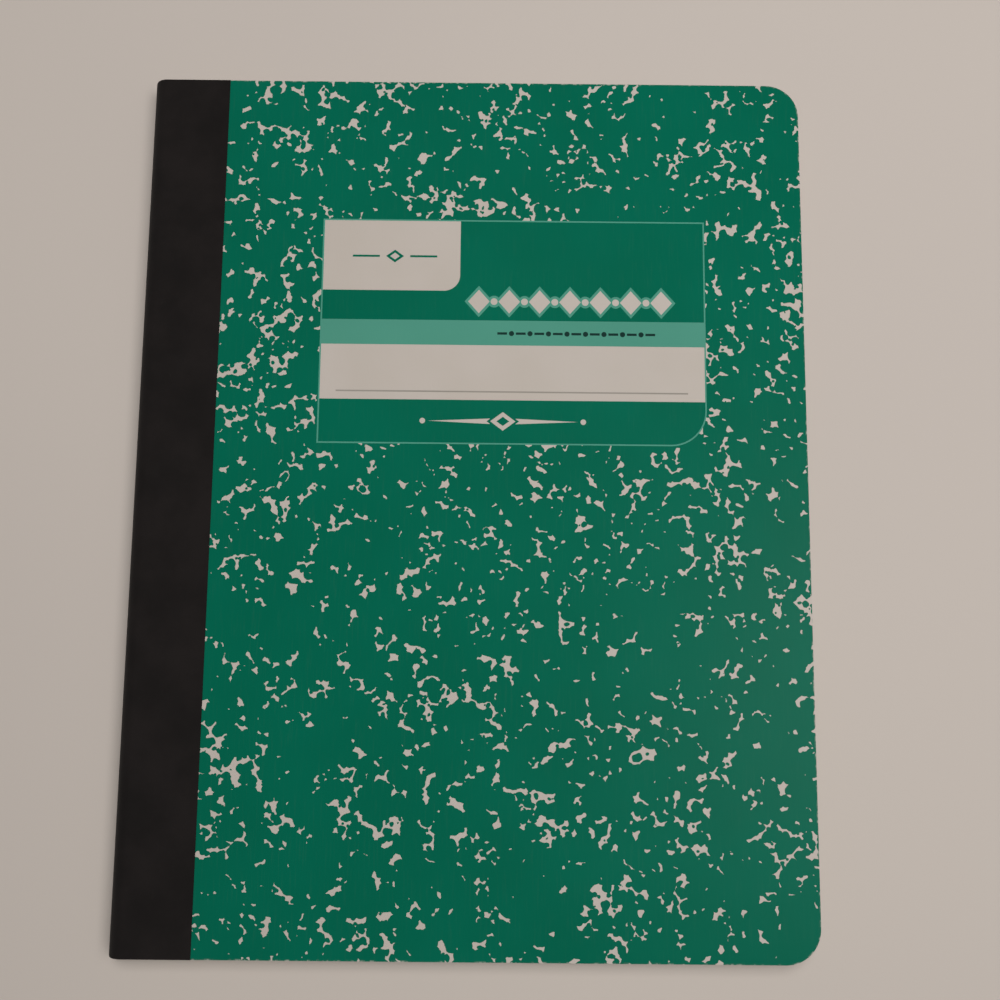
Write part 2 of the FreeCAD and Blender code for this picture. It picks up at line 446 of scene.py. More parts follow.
@dataclass(frozen=True)
class WritingPaper:
    """The open face of a leaf."""

    name: str = "leaf_face"
    colour: Colour = tone(219, 217, 211)
    warm: Colour = tone(217, 214, 207)

    def material(self) -> bpy.types.Material:
        """Builds the leaf face."""
        bench = Bench(self.name)
        cloud = bench.noise(bench.plan(), pitch=6.0, detail=4.0, rough=0.6)
        fibre = bench.noise(bench.plan(along_x=0.6, along_y=1.6, shift=2.0), pitch=0.7, detail=3.0, rough=0.6)
        colour = bench.blend(bench.between(cloud, 0.3, 0.7), self.warm, self.colour)
        wave = bench.noise(bench.plan(along_y=0.5, shift=5.0), pitch=40.0, detail=1.0)
        near = bench.bump(0.7 * fibre + 0.3 * cloud, depth=0.015)
        normal = bench.bump(wave, depth=0.4, over=near)
        return bench.finish(Base_Color=colour, Roughness=0.8 + 0.1 * (fibre - 0.5), Normal=normal)


@dataclass(frozen=True)
class LeafEdges:
    """The trimmed edges of the stacked leaves."""

    name: str = "leaf_edges"
    colour: Colour = tone(222, 216, 203)
    shade: Colour = tone(184, 175, 158)

    def material(self) -> bpy.types.Material:
        """Builds the stack's edge."""
        bench = Bench(self.name)
        leaf = bench.noise(bench.plan(along_x=0.012), pitch=0.16, detail=3.0, rough=0.7)
        bundle = bench.noise(bench.plan(along_x=0.01, shift=4.0), pitch=0.9)
        patch = bench.noise(bench.plan(along_x=0.25, shift=8.0), pitch=5.0, detail=3.0)
        mark = 0.5 * leaf + 0.3 * bundle + 0.2 * patch
        colour = bench.blend(bench.between(mark, 0.36, 0.6), self.shade, self.colour)
        return bench.finish(
            Base_Color=colour, Roughness=0.88 + 0.08 * (leaf - 0.5), Normal=bench.bump(leaf, depth=0.05)
        )


@dataclass(frozen=True)
class PageRule:
    """Thin writing lines printed on a leaf."""

    name: str
    colour: Colour
    faint: Colour

    def material(self) -> bpy.types.Material:
        """Builds the line ink."""
        bench = Bench(self.name)
        broken = bench.noise(bench.plan(), pitch=0.5, detail=3.0, rough=0.7)
        colour = bench.blend(bench.between(broken, 0.4, 0.7) * 0.6, self.colour, self.faint)
        return bench.finish(Base_Color=colour, Roughness=0.75 + 0.1 * (broken - 0.5))


@dataclass(frozen=True)
class CottonThread:
    """Twisted sewing thread."""

    name: str = "cotton_thread"
    colour: Colour = tone(224, 220, 208)
    shade: Colour = tone(170, 163, 148)

    def material(self) -> bpy.types.Material:
        """Builds the thread. Its twist runs along the spine, in the frame's own axes."""
        bench = Bench(self.name)
        place = bench.node("ShaderNodeTexCoord", {}, {}, "Object")
        scaled = bench.node(
            "ShaderNodeVectorMath", {"operation": "MULTIPLY"}, {0: place, 1: (1 / MM,) * 3}
        )
        twist = bench.node(
            "ShaderNodeTexWave",
            {"wave_type": "BANDS", "bands_direction": "DIAGONAL"},
            {"Vector": scaled, "Scale": 1.6, "Distortion": 1.2, "Detail": 2.0},
            1,
        )
        fuzz = bench.noise(scaled, pitch=0.12, detail=3.0)
        colour = bench.blend(0.7 * twist + 0.3 * fuzz, self.shade, self.colour)
        return bench.finish(Base_Color=colour, Roughness=0.85, Normal=bench.bump(twist, depth=0.05))


@dataclass(frozen=True)
class TableTop:
    """The plain pale surface under the notebook.

    It is open to a view from beneath, and far out it runs into the plain backdrop.
    """

    name: str = "table_top"
    colour: Colour = tone(190, 180, 171)
    cool: Colour = tone(186, 176, 168)
    backdrop: Colour = tone(188, 178, 170)
    fade_start: float = 0.3
    fade_end: float = 0.8

    def material(self) -> bpy.types.Material:
        """Builds the table's surface."""
        bench = Bench(self.name)
        place = bench.node("ShaderNodeTexCoord", {}, {}, "Object")
        cloud = bench.noise(place, pitch=0.35)
        colour = bench.blend(bench.between(cloud, 0.3, 0.7), self.cool, self.colour)
        fine = bench.noise(place, pitch=0.0011)
        normal = bench.bump(fine, depth=0.01)
        inputs = {"Base Color": colour, "Roughness": 0.7, "Normal": normal, "Specular IOR Level": 0.2}
        surface = bench.node("ShaderNodeBsdfPrincipled", {}, inputs)
        plain = bench.node("ShaderNodeEmission", {}, {"Color": self.backdrop, "Strength": 1.0})
        far = bench.node("ShaderNodeVectorMath", {"operation": "LENGTH"}, {0: place}, "Value")
        seen = bench.node("ShaderNodeLightPath", {}, {}, "Is Camera Ray")
        faded = bench.between(far, self.fade_start, self.fade_end) * seen
        surface = bench.node("ShaderNodeMixShader", {}, {0: faded, 1: surface, 2: plain})
        clear = bench.node("ShaderNodeBsdfTransparent")
        beneath = bench.node("ShaderNodeNewGeometry", {}, {}, "Backfacing")
        mixed = bench.node("ShaderNodeMixShader", {}, {0: beneath, 1: surface, 2: clear})
        bench.node("ShaderNodeOutputMaterial", {}, {"Surface": mixed})
        return bench.owner


class Side(Enum):
    """A side of the notebook, with the way it faces."""

    FRONT = 1
    BACK = -1

    @property
    def body(self) -> str:
        """The moving body on this side."""
        return "front_side" if self is Side.FRONT else "back_side"

    @property
    def word(self) -> str:
        """The side's name, for piece names."""
        return self.name.lower()


@dataclass(frozen=True)
class PlanOutline:
    """The trimmed outline seen from above: round fore corners, eased corners at the spine."""

    spine_x: float
    fore_x: float
    half_length: float
    fore_radius: float = 9.5
    spine_radius: float = 1.2

    def reach(self, x: float, inset: float = 0.0) -> float:
        """Half the length of the outline at x, with the whole outline drawn in by inset."""
        for end, radius, sign in (
            (self.fore_x, self.fore_radius, 1),
            (self.spine_x, self.spine_radius, -1),
        ):
            past = sign * (x - (end - sign * radius))
            if past > 0:
                allowed = radius - inset
                drop = math.sqrt(max(allowed**2 - min(past, allowed) ** 2, 0.0))
                return self.half_length - radius + drop
        return self.half_length - inset

    def fore_stations(self, start: float, steps: int, corner_steps: int) -> list[float]:
        """Places across a cover, from start to the fore edge, closer together in the corner."""
        bend = self.fore_x - self.fore_radius
        flat = [start + (bend - start) * k / steps for k in range(steps)]
        angles = (k * math.pi / 2 / corner_steps for k in range(corner_steps + 1))
        return flat + [bend + self.fore_radius * math.sin(a) for a in angles]


@dataclass(frozen=True)
class BookSizes:
    """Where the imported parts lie."""

    hinge_x: float
    mid_z: float
    tape_radius: float
    tape_inner: float
    board_outer: float
    board_inner: float
    leaf_radius: float
    tape_edge_x: float
    outline: PlanOutline
    bend: float = 2.6

    @classmethod
    def measure(cls) -> "BookSizes":
        """Reads the sizes from the frame."""

        def span(node: str, axis: int) -> tuple[float, float]:
            """A node's extent along one axis."""
            low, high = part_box(node)
            return low[axis] / MM, high[axis] / MM

        bottom, top = span("spine_tape", 2)
        mid = (bottom + top) / 2
        inner, outer = span("front_cover", 2)
        spine, hinge = span("spine_tape", 0)
        outline = PlanOutline(spine, span("front_cover", 0)[1], span("front_cover", 1)[1])
        return cls(
            hinge_x=hinge,
            mid_z=mid,
            tape_radius=top - mid,
            tape_inner=span("front_tape", 2)[0] - mid,
            board_outer=outer - mid,
            board_inner=inner - mid,
            leaf_radius=span("page_block", 2)[1] - mid,
            tape_edge_x=span("front_tape", 0)[1],
            outline=outline,
        )


def add_object(name: str, data: bpy.types.ID) -> bpy.types.Object:
    """Puts a mesh, a lamp or a camera in the scene."""
    made = bpy.data.objects.new(name, data)
    bpy.context.scene.collection.objects.link(made)
    return made


def add_map(mesh: bpy.types.Mesh, name: str, places: np.ndarray) -> None:
    """Gives a mesh a flat map, with a place for each corner of its faces."""
    layer = mesh.uv_layers.new(name=name)
    layer.data.foreach_set("uv", places.astype(np.float32).ravel())


def report(piece: bpy.types.Object) -> bpy.types.Object:
    """Reports a finished piece and hands it back."""
    LOG.info("%s: %d faces", piece.name, len(piece.data.polygons))
    return piece


@dataclass
class Shape:
    """Vertices and faces on their way to becoming one mesh."""

    points: list[Point3] = field(default_factory=list)
    faces: list[tuple[int, ...]] = field(default_factory=list)
    slots: list[int] = field(default_factory=list)
    face_places: list[tuple[Point2, ...]] = field(default_factory=list)

    def add_point(self, point: Point3) -> int:
        """Adds a vertex in millimetres and returns its index."""
        self.points.append(point)
        return len(self.points) - 1

    def add_face(self, corners: Sequence[int], places: Sequence[Point2], slot: int = 0) -> None:
        """Adds a face, leaving out corners that repeat.

        Args:
            corners: Vertex indices, in order round the face.
            places: The place of each corner on the flattened sheet, in millimetres.
            slot: Which of the piece's finishes the face takes.
        """
        kept: list[int] = []
        for k, corner in enumerate(corners):
            if corner not in [corners[j] for j in kept]:
                kept.append(k)
        if len(kept) < 3:
            return
        self.faces.append(tuple(corners[k] for k in kept))
        self.face_places.append(tuple(places[k] for k in kept))
        self.slots.append(slot)

    def add_strip(self, low: Point2, high: Point2, z: float, side: Side, slot: int) -> None:
        """Adds one thin printed line.

        Args:
            low: The corner with its low X and Y.
            high: The corner with its high X and Y.
            z: Its height.
            side: The side that it faces.
            slot: Which ink it takes.
        """
        ring = [low, (high[0], low[1]), high, (low[0], high[1])]
        if side is Side.BACK:
            ring.reverse()
        self.add_face([self.add_point((x, y, z)) for x, y in ring], ring, slot)

    def make(self, name: str, finishes: Sequence[bpy.types.Material]) -> bpy.types.Object:
        """Makes the object.

        Args:
            name: The piece's name.
            finishes: Its materials, in the order of the faces' slots.

        Returns:
            The object, linked to the scene.
        """
        mesh = bpy.data.meshes.new(name)
        mesh.from_pydata([[c * MM for c in p] for p in self.points], [], self.faces)
        corners = np.array([p for face in self.face_places for p in face], float)
        add_map(mesh, PLAN_MAP, corners * MM)
        for finish in finishes:
            mesh.materials.append(finish)
        mesh.polygons.foreach_set("material_index", self.slots)
        mesh.update()
        mesh.validate()
        return add_object(name, mesh)


def smooth_by_angle(piece: bpy.types.Object, degrees: float = 30.0) -> None:
    """Shades a piece smooth, with sharp edges where its faces meet at more than an angle."""
    piece.data.polygons.foreach_set("use_smooth", [True] * len(piece.data.polygons))
    piece.data.set_sharp_from_angle(angle=math.radians(degrees))


@dataclass(frozen=True)
class Station:
    """One line across a wrapped sheet: its outer and inner place in profile."""

    along: float
    outer: Point2
    inner: Point2


@dataclass
class WrappedSheet:
    """Half of a sheet that wraps the spine: a quarter turn at the fold, then flat."""

    sizes: BookSizes
    side: Side
    outer_radius: float
    inner_radius: float
    flat_stations: Sequence[float]
    arc_steps: int = 24
    rows: int = 16

    def stations(self) -> list[Station]:
        """The profile from the middle of the spine to the free edge."""
        centre_x, centre_z = self.sizes.hinge_x, self.sizes.mid_z
        made: list[Station] = []
        for k in range(self.arc_steps):
            angle = k * math.pi / 2 / self.arc_steps
            ends = []
            for radius in (self.outer_radius, self.inner_radius):
                x = centre_x - radius * math.cos(angle)
                ends.append((x, centre_z + self.side.value * radius * math.sin(angle)))
            made.append(Station(self.outer_radius * angle, ends[0], ends[1]))
        turned = self.outer_radius * math.pi / 2
        outer_z = centre_z + self.side.value * self.outer_radius
        inner_z = centre_z + self.side.value * self.inner_radius
        for x in self.flat_stations:
            made.append(Station(turned + x - centre_x, (x, outer_z), (x, inner_z)))
        return made

    def shape(self) -> Shape:
        """Builds the closed sheet: outer face in slot 0, inner face in slot 1, edges in slot 2."""
        shape = Shape()
        stations = self.stations()
        outline = self.sizes.outline
        spread = [2 * j / self.rows - 1 for j in range(self.rows + 1)]
        grids: list[list[list[int]]] = []
        for pick in (0, 1):
            grid = []
            for station in stations:
                x, z = (station.outer, station.inner)[pick]
                reach = outline.reach(x)
                grid.append([shape.add_point((x, reach * share, z)) for share in spread])
            grids.append(grid)
        sign = self.side.value
        along = [sign * station.along for station in stations]
        last = len(stations) - 1

        def place(i: int, j: int, layer: float = 0.0) -> Point2:
            """The flattened place of a grid point."""
            return along[i] + layer, shape.points[grids[0][i][j]][1]

        def quad(corners: list[int], places: list[Point2], slot: int) -> None:
            """A face turned outwards for this side."""
            if sign < 0:
                corners, places = corners[::-1], places[::-1]
            shape.add_face(corners, places, slot)

        def edge(first: tuple[int, int], second: tuple[int, int], run: Point2, flip: bool) -> None:
            """A face of the cut edge, between two neighbours on the rim of the grids."""
            depth = self.outer_radius - self.inner_radius
            (a, b), (c, d) = first, second
            corners = [outer[a][b], inner[a][b], inner[c][d], outer[c][d]]
            places = [(run[0], 0.0), (run[0], depth), (run[1], depth), (run[1], 0.0)]
            if flip:
                corners, places = corners[::-1], places[::-1]
            quad(corners, places, 2)

        outer, inner = grids
        for i in range(last):
            for j in range(self.rows):
                ring = [(i, j), (i + 1, j), (i + 1, j + 1), (i, j + 1)]
                quad([outer[a][b] for a, b in ring], [place(a, b) for a, b in ring], 0)
                back = ring[::-1]
                quad([inner[a][b] for a, b in back], [place(a, b, LINING_SHIFT) for a, b in back], 1)
            for j, flip in ((0, False), (self.rows, True)):
                edge((i, j), (i + 1, j), (along[i], along[i + 1]), flip)
        for i, flip in ((0, True), (last, False)):
            for j in range(self.rows):
                edge((i, j), (i, j + 1), (place(i, j)[1], place(i, j + 1)[1]), not flip)
        return shape


def bend_over_hinge(piece: bpy.types.Object, side: Side) -> None:
    """Bakes a sheet's placement into its mesh, the same way for either side; nothing is bent.

    Args:
        piece: The sheet.
        side: The side that the sheet belongs to.
    """
    if side is Side.FRONT:
        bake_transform(piece)
    else:
        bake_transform(piece)


@dataclass
class WrappedPair:
    """The two halves of a sheet that wraps the spine, which meet at the fold."""

    sizes: BookSizes
    bend_steps: int = 14

    def halves(
        self,
        word: str,
        radii: tuple[float, float],
        flat: Sequence[float],
        finishes: Sequence[bpy.types.Material],
        nodes: Mapping[Side, Sequence[str]],
    ) -> list[bpy.types.Object]:
        """Makes both halves.

        Args:
            word: What the sheet is called in the pieces' names.
            radii: How far its outer and inner face lie from the middle of the fold.
            flat: The places across its flat part, past the bend at the hinge.
            finishes: The materials of its outer face, inner face and edges.
            nodes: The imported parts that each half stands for.

        Returns:
            The front half and the back half.
        """
        sizes = self.sizes
        bend = [sizes.hinge_x + sizes.bend * k / self.bend_steps for k in range(self.bend_steps)]
        made = []
        for side in Side:
            sheet = WrappedSheet(sizes, side, *radii, [*bend, *flat])
            piece = sheet.shape().make(f"{side.word}_{word}", finishes)
            smooth_by_angle(piece)
            bend_over_hinge(piece, side)
            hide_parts(*nodes[side])
            made.append(report(piece))
        return made


@dataclass
class CoverBoards(WrappedPair):
    """The printed board that wraps the leaves, under the tape."""

    flat_steps: int = 14
    corner_steps: int = 14

    def build(self) -> list[bpy.types.Object]:
        """Makes both halves."""
        sizes = self.sizes
        start = sizes.hinge_x + sizes.bend
        flat = sizes.outline.fore_stations(start, self.flat_steps, self.corner_steps)
        finishes = [CoatedBoard().material(), InnerBoard().material(), BoardCore().material()]
        nodes = {Side.FRONT: ("front_cover", "cover_spine"), Side.BACK: ("back_cover",)}
        return self.halves("board", (sizes.board_outer, sizes.board_inner), flat, finishes, nodes)


@dataclass
class BindingTape(WrappedPair):
    """The tape over the spine and on to each cover."""

    flat_steps: int = 8

    def build(self) -> list[bpy.types.Object]:
        """Makes both halves."""
        sizes = self.sizes
        start = sizes.hinge_x + sizes.bend
        width = sizes.tape_edge_x - start
        flat = [start + width * k / self.flat_steps for k in range(self.flat_steps + 1)]
        finishes = [GrainedTape().material()] * 3
        nodes = {Side.FRONT: ("front_tape", "spine_tape"), Side.BACK: ("back_tape",)}
        made = self.halves("binding", (sizes.tape_radius, sizes.tape_inner), flat, finishes, nodes)
        return made


@dataclass
class LeafBlock:
    """Fifty nested sheets, folded once and trimmed, with writing lines on the two open leaves."""

    sizes: BookSizes
    sheets: int = 50
    fold_steps: int = 12
    corner_steps: int = 8
    edge_steps: int = 5
    seed: int = 41
    line_pitch: float = 8.7
    line_width: float = 0.28
    head_space: float = 36.0
    foot_space: float = 9.0
    margin: float = 31.75
    margin_gap: float = 0.9
    lift: float = 0.012
    margin_lift: float = 0.004
    clear_fold: float = 0.6
    clear_edge: float = 0.15
    drift: float = 0.012
    most_drift: float = 0.03
    stray: float = 0.015
    groove: float = 0.02
    deep_groove: float = 0.06
    deep_share: float = 0.16

    def build(self) -> list[bpy.types.Object]:
        """Makes the block and its writing lines."""
        block = self._block().make("leaf_block", [WritingPaper().material(), LeafEdges().material()])
        smooth_by_angle(block, 20.0)
        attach(block, "book_block")
        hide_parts("page_block")
        blue = PageRule("rule_blue", tone(118, 156, 194), tone(158, 180, 202)).material()
        red = PageRule("rule_red", tone(206, 118, 126), tone(208, 152, 155)).material()
        made = [report(block)]
        for side in Side:
            piece = self._lines(side).make(f"{side.word}_leaf_rules", [blue, red])
            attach(piece, "book_block")
            made.append(report(piece))
        return made

    def _leaf_outline(self, inset: float) -> list[Point2]:
        """A leaf's free edges, from the fold at the head round to the fold at the tail."""
        outline = self.sizes.outline
        bend_x = outline.fore_x - outline.fore_radius
        bend_y = outline.half_length - outline.fore_radius
        radius = outline.fore_radius - inset
        run = bend_x - self.sizes.hinge_x
        steps = self.edge_steps
        top = [
            (self.sizes.hinge_x + run * k / steps, outline.half_length - inset) for k in range(steps)
        ]
        for k in range(self.corner_steps + 1):
            angle = k * math.pi / 2 / self.corner_steps
            top.append((bend_x + radius * math.sin(angle), bend_y + radius * math.cos(angle)))
        side = [(outline.fore_x - inset, bend_y * (1 - 2 * k / steps)) for k in range(1, steps)]
        return top + side + [(x, -y) for x, y in reversed(top)]

    def _loop(self, radius: float, inset: float) -> list[Point3]:
        """One closed line round the edges of the folded block, at a distance from its middle."""
        flat = self._leaf_outline(inset)
        hinge, mid = self.sizes.hinge_x, self.sizes.mid_z
        angles = [math.pi * (k / self.fold_steps - 0.5) for k in range(1, self.fold_steps)]
        fold = []
        for angle in angles:
            x = hinge - radius * math.cos(angle)
            fold.append((x, self.sizes.outline.reach(x, inset), mid + radius * math.sin(angle)))
        loop = [(x, y, mid - radius) for x, y in flat]
        loop += [(x, -y, z) for x, y, z in fold]
        loop += [(x, y, mid + radius) for x, y in reversed(flat)]
        loop += list(reversed(fold))
        return loop

    def _insets(self) -> list[tuple[float, float]]:
        """The distance from the middle and the inset of each line, from the outside in."""
        draw = np.random.default_rng(self.seed)
        leaf = self.sizes.leaf_radius / self.sheets
        slow = np.cumsum(draw.normal(0.0, self.drift, self.sheets))
        slow = np.clip(slow - slow.mean(), -self.most_drift, self.most_drift) + self.most_drift
        lines = []
        for k in range(self.sheets):
            deep = self.deep_groove if draw.random() < self.deep_share else self.groove
            ridge = slow[k] + draw.uniform(0.0, self.stray)
            lines.append((self.sizes.leaf_radius - leaf * k, ridge + deep if k else 0.0))
            lines.append((self.sizes.leaf_radius - leaf * (k + 0.5), ridge))
        return lines

    def _block(self) -> Shape:
        """Builds the closed block: leaf faces in slot 0, trimmed edges in slot 1."""
        shape = Shape()
        lines = self._insets()
        loops = [[shape.add_point(p) for p in self._loop(radius, inset)] for radius, inset in lines]
        loops.append(self._core(shape, lines[-1][1] + self.groove))
        self._add_edges(shape, loops, [radius for radius, _ in lines] + [0.0])
        self._add_leaves(shape, loops[0])
        return shape

    def _core(self, shape: Shape, inset: float) -> list[int]:
        """Adds the flat line in the middle of the block.

        Args:
            shape: The shape that it goes into.
            inset: How far it lies inside the outline.

        Returns:
            Its vertices, repeated round the fold to match the other lines.
        """
        line = [shape.add_point((x, y, self.sizes.mid_z)) for x, y in self._leaf_outline(inset)]
        fold = self.fold_steps - 1
        return line + [line[-1]] * fold + line[::-1] + [line[0]] * fold

    def _add_edges(self, shape: Shape, loops: list[list[int]], depths: list[float]) -> None:
        """Adds the trimmed edges, from each line to the next one in.

        Args:
            shape: The shape that they go into.
            loops: The vertices of each line, from the outside in.
            depths: How far each line lies from the middle.
        """
        outer = loops[0]
        size = len(outer)
        lower_count = len(self._leaf_outline(0.0)) - 1
        run = [0.0]
        for k in range(size):
            here, after = shape.points[outer[k]], shape.points[outer[(k + 1) % size]]
            run.append(run[-1] + math.dist(here, after))
        for (first, second), (d0, d1) in zip(zip(loops, loops[1:]), zip(depths, depths[1:])):
            for k in range(size):
                n = (k + 1) % size
                s0, s1 = (-d0, -d1) if k < lower_count else (d0, d1)
                corners = [first[k], second[k], second[n], first[n]]
                places = [(run[k], s0), (run[k], s1), (run[k + 1], s1), (run[k + 1], s0)]
                shape.add_face(corners, places, 1)

    def _add_leaves(self, shape: Shape, outer: list[int]) -> None:
        """Adds the two open leaves and the paper round the fold.

        Args:
            shape: The shape that they go into.
            outer: The vertices of the outermost line.
        """
        leaf, fold = len(self._leaf_outline(0.0)), self.fold_steps - 1
        bottom, tail = outer[:leaf], outer[leaf : leaf + fold]
        top, head = outer[leaf + fold : 2 * leaf + fold], outer[2 * leaf + fold :]
        flat = [shape.points[k][:2] for k in bottom]
        shape.add_face(bottom, [(x - LAST_LEAF_SHIFT, y) for x, y in flat], 0)
        shape.add_face(top, [shape.points[k][:2] for k in top], 0)
        tails = [bottom[-1], *tail, top[0]]
        heads = [bottom[0], *reversed(head), top[-1]]
        step = math.pi * self.sizes.leaf_radius / self.fold_steps
        for k in range(self.fold_steps):
            corners = [tails[k], heads[k], heads[k + 1], tails[k + 1]]
            near, far = FOLD_SHIFT + step * k, FOLD_SHIFT + step * (k + 1)
            places = [(u, shape.points[c][1]) for u, c in zip((near, near, far, far), corners)]
            shape.add_face(corners, places, 0)

    def _lines(self, side: Side) -> Shape:
        """Builds the writing lines of the open leaf on one side: rules in slot 0, margin in 1."""
        shape = Shape()
        outline = self.sizes.outline
        z = self.sizes.mid_z + side.value * (self.sizes.leaf_radius + self.lift)
        left, right = self.sizes.hinge_x + self.clear_fold, outline.fore_x - self.clear_edge
        margin = left + self.margin if side is Side.FRONT else right - self.margin
        y = outline.half_length - self.head_space
        half = self.line_width / 2
        while y > self.foot_space - outline.half_length:
            end = min(right, outline.fore_x - outline.fore_radius + self._corner_room(y))
            shape.add_strip((left, y - half), (end, y + half), z, side, 0)
            y -= self.line_pitch
        z += side.value * self.margin_lift
        for x in (margin - self.margin_gap / 2, margin + self.margin_gap / 2):
            end_y = outline.reach(x) - self.clear_edge
            shape.add_strip((x - half, -end_y), (x + half, end_y), z, side, 1)
        return shape

    def _corner_room(self, y: float) -> float:
        """How far a line at y runs into the round fore corner."""
        outline = self.sizes.outline
        past = abs(y) - (outline.half_length - outline.fore_radius)
        if past <= 0:
            return outline.fore_radius
        return math.sqrt(max(outline.fore_radius**2 - past**2, 0.0)) - self.clear_edge


@dataclass
class SewingThread:
    """The line of stitches through the fold."""

    node: bpy.types.Object

    def build(self) -> list[bpy.types.Object]:
        """Gives the stitches their thread finish."""
        finish = CottonThread().material()
        for slot in self.node.material_slots:
            slot.material = finish
        return [report(self.node)]


class Ink(Enum):
    """What lies on a patch of the cover."""

    BARE = 0
    GREEN = 1
    TINT = 2
    GREY = 3
    DARK = 4


@dataclass(frozen=True)
class Panel:
    """An upright rectangle with one round corner at its far foot."""

    x0: float
    y0: float
    x1: float
    y1: float
    corner: float = 0.0

    def outline(self) -> list[Point2]:
        """Its outline, in order."""
        ring = [(self.x0, self.y1), (self.x0, self.y0)]
        if self.corner:
            for k in range(QUARTER_SIDES + 1):
                angle = k * math.pi / (2 * QUARTER_SIDES)
                x = self.x1 - self.corner + self.corner * math.sin(angle)
                ring.append((x, self.y0 + self.corner - self.corner * math.cos(angle)))
        else:
            ring.append((self.x1, self.y0))
        ring.append((self.x1, self.y1))
        return ring

    def holds(self, x: float | np.ndarray, y: float | np.ndarray) -> bool | np.ndarray:
        """True for a point inside, or for each point of a grid that is inside."""
        inside = (self.x0 < x) & (x < self.x1) & (self.y0 < y) & (y < self.y1)
        past_x = x - (self.x1 - self.corner)
        past_y = (self.y0 + self.corner) - y
        rounded = (past_x <= 0) | (past_y <= 0) | (np.hypot(past_x, past_y) <= self.corner)
        return inside & rounded

    def grown(self, by: float) -> "Panel":
        """The same panel, larger all round."""
        corner = self.corner + by if self.corner else 0.0
        return Panel(self.x0 - by, self.y0 - by, self.x1 + by, self.y1 + by, corner)


@dataclass(frozen=True)
class Lozenge:
    """A diamond on its point."""

    x: float
    y: float
    half_width: float
    half_height: float

    def outline(self) -> list[Point2]:
        """Its outline, in order."""
        w, h = self.half_width, self.half_height
        return [(self.x - w, self.y), (self.x, self.y - h), (self.x + w, self.y), (self.x, self.y + h)]

    def holds(self, x: float, y: float) -> bool:
        """True for a point inside."""
        return abs(x - self.x) / self.half_width + abs(y - self.y) / self.half_height < 1

    def grown(self, by: float) -> "Lozenge":
        """The same diamond with its sides moved out."""
        side = math.hypot(self.half_width, self.half_height)
        more = 1 + by * side / (self.half_width * self.half_height)
        return Lozenge(self.x, self.y, self.half_width * more, self.half_height * more)


@dataclass(frozen=True)
class Disc:
    """A round spot."""

    x: float
    y: float
    radius: float

    def outline(self) -> list[Point2]:
        """Its outline, in order."""
        angles = [k * math.tau / SPOT_SIDES for k in range(SPOT_SIDES)]
        return [(self.x + self.radius * math.cos(a), self.y + self.radius * math.sin(a)) for a in angles]

    def holds(self, x: float, y: float) -> bool:
        """True for a point inside."""
        return math.hypot(x - self.x, y - self.y) < self.radius

    def grown(self, by: float) -> "Disc":
        """The same spot, larger."""
        return Disc(self.x, self.y, self.radius + by)


Patch = Panel | Lozenge | Disc
Layers = list[tuple[Patch, Ink]]


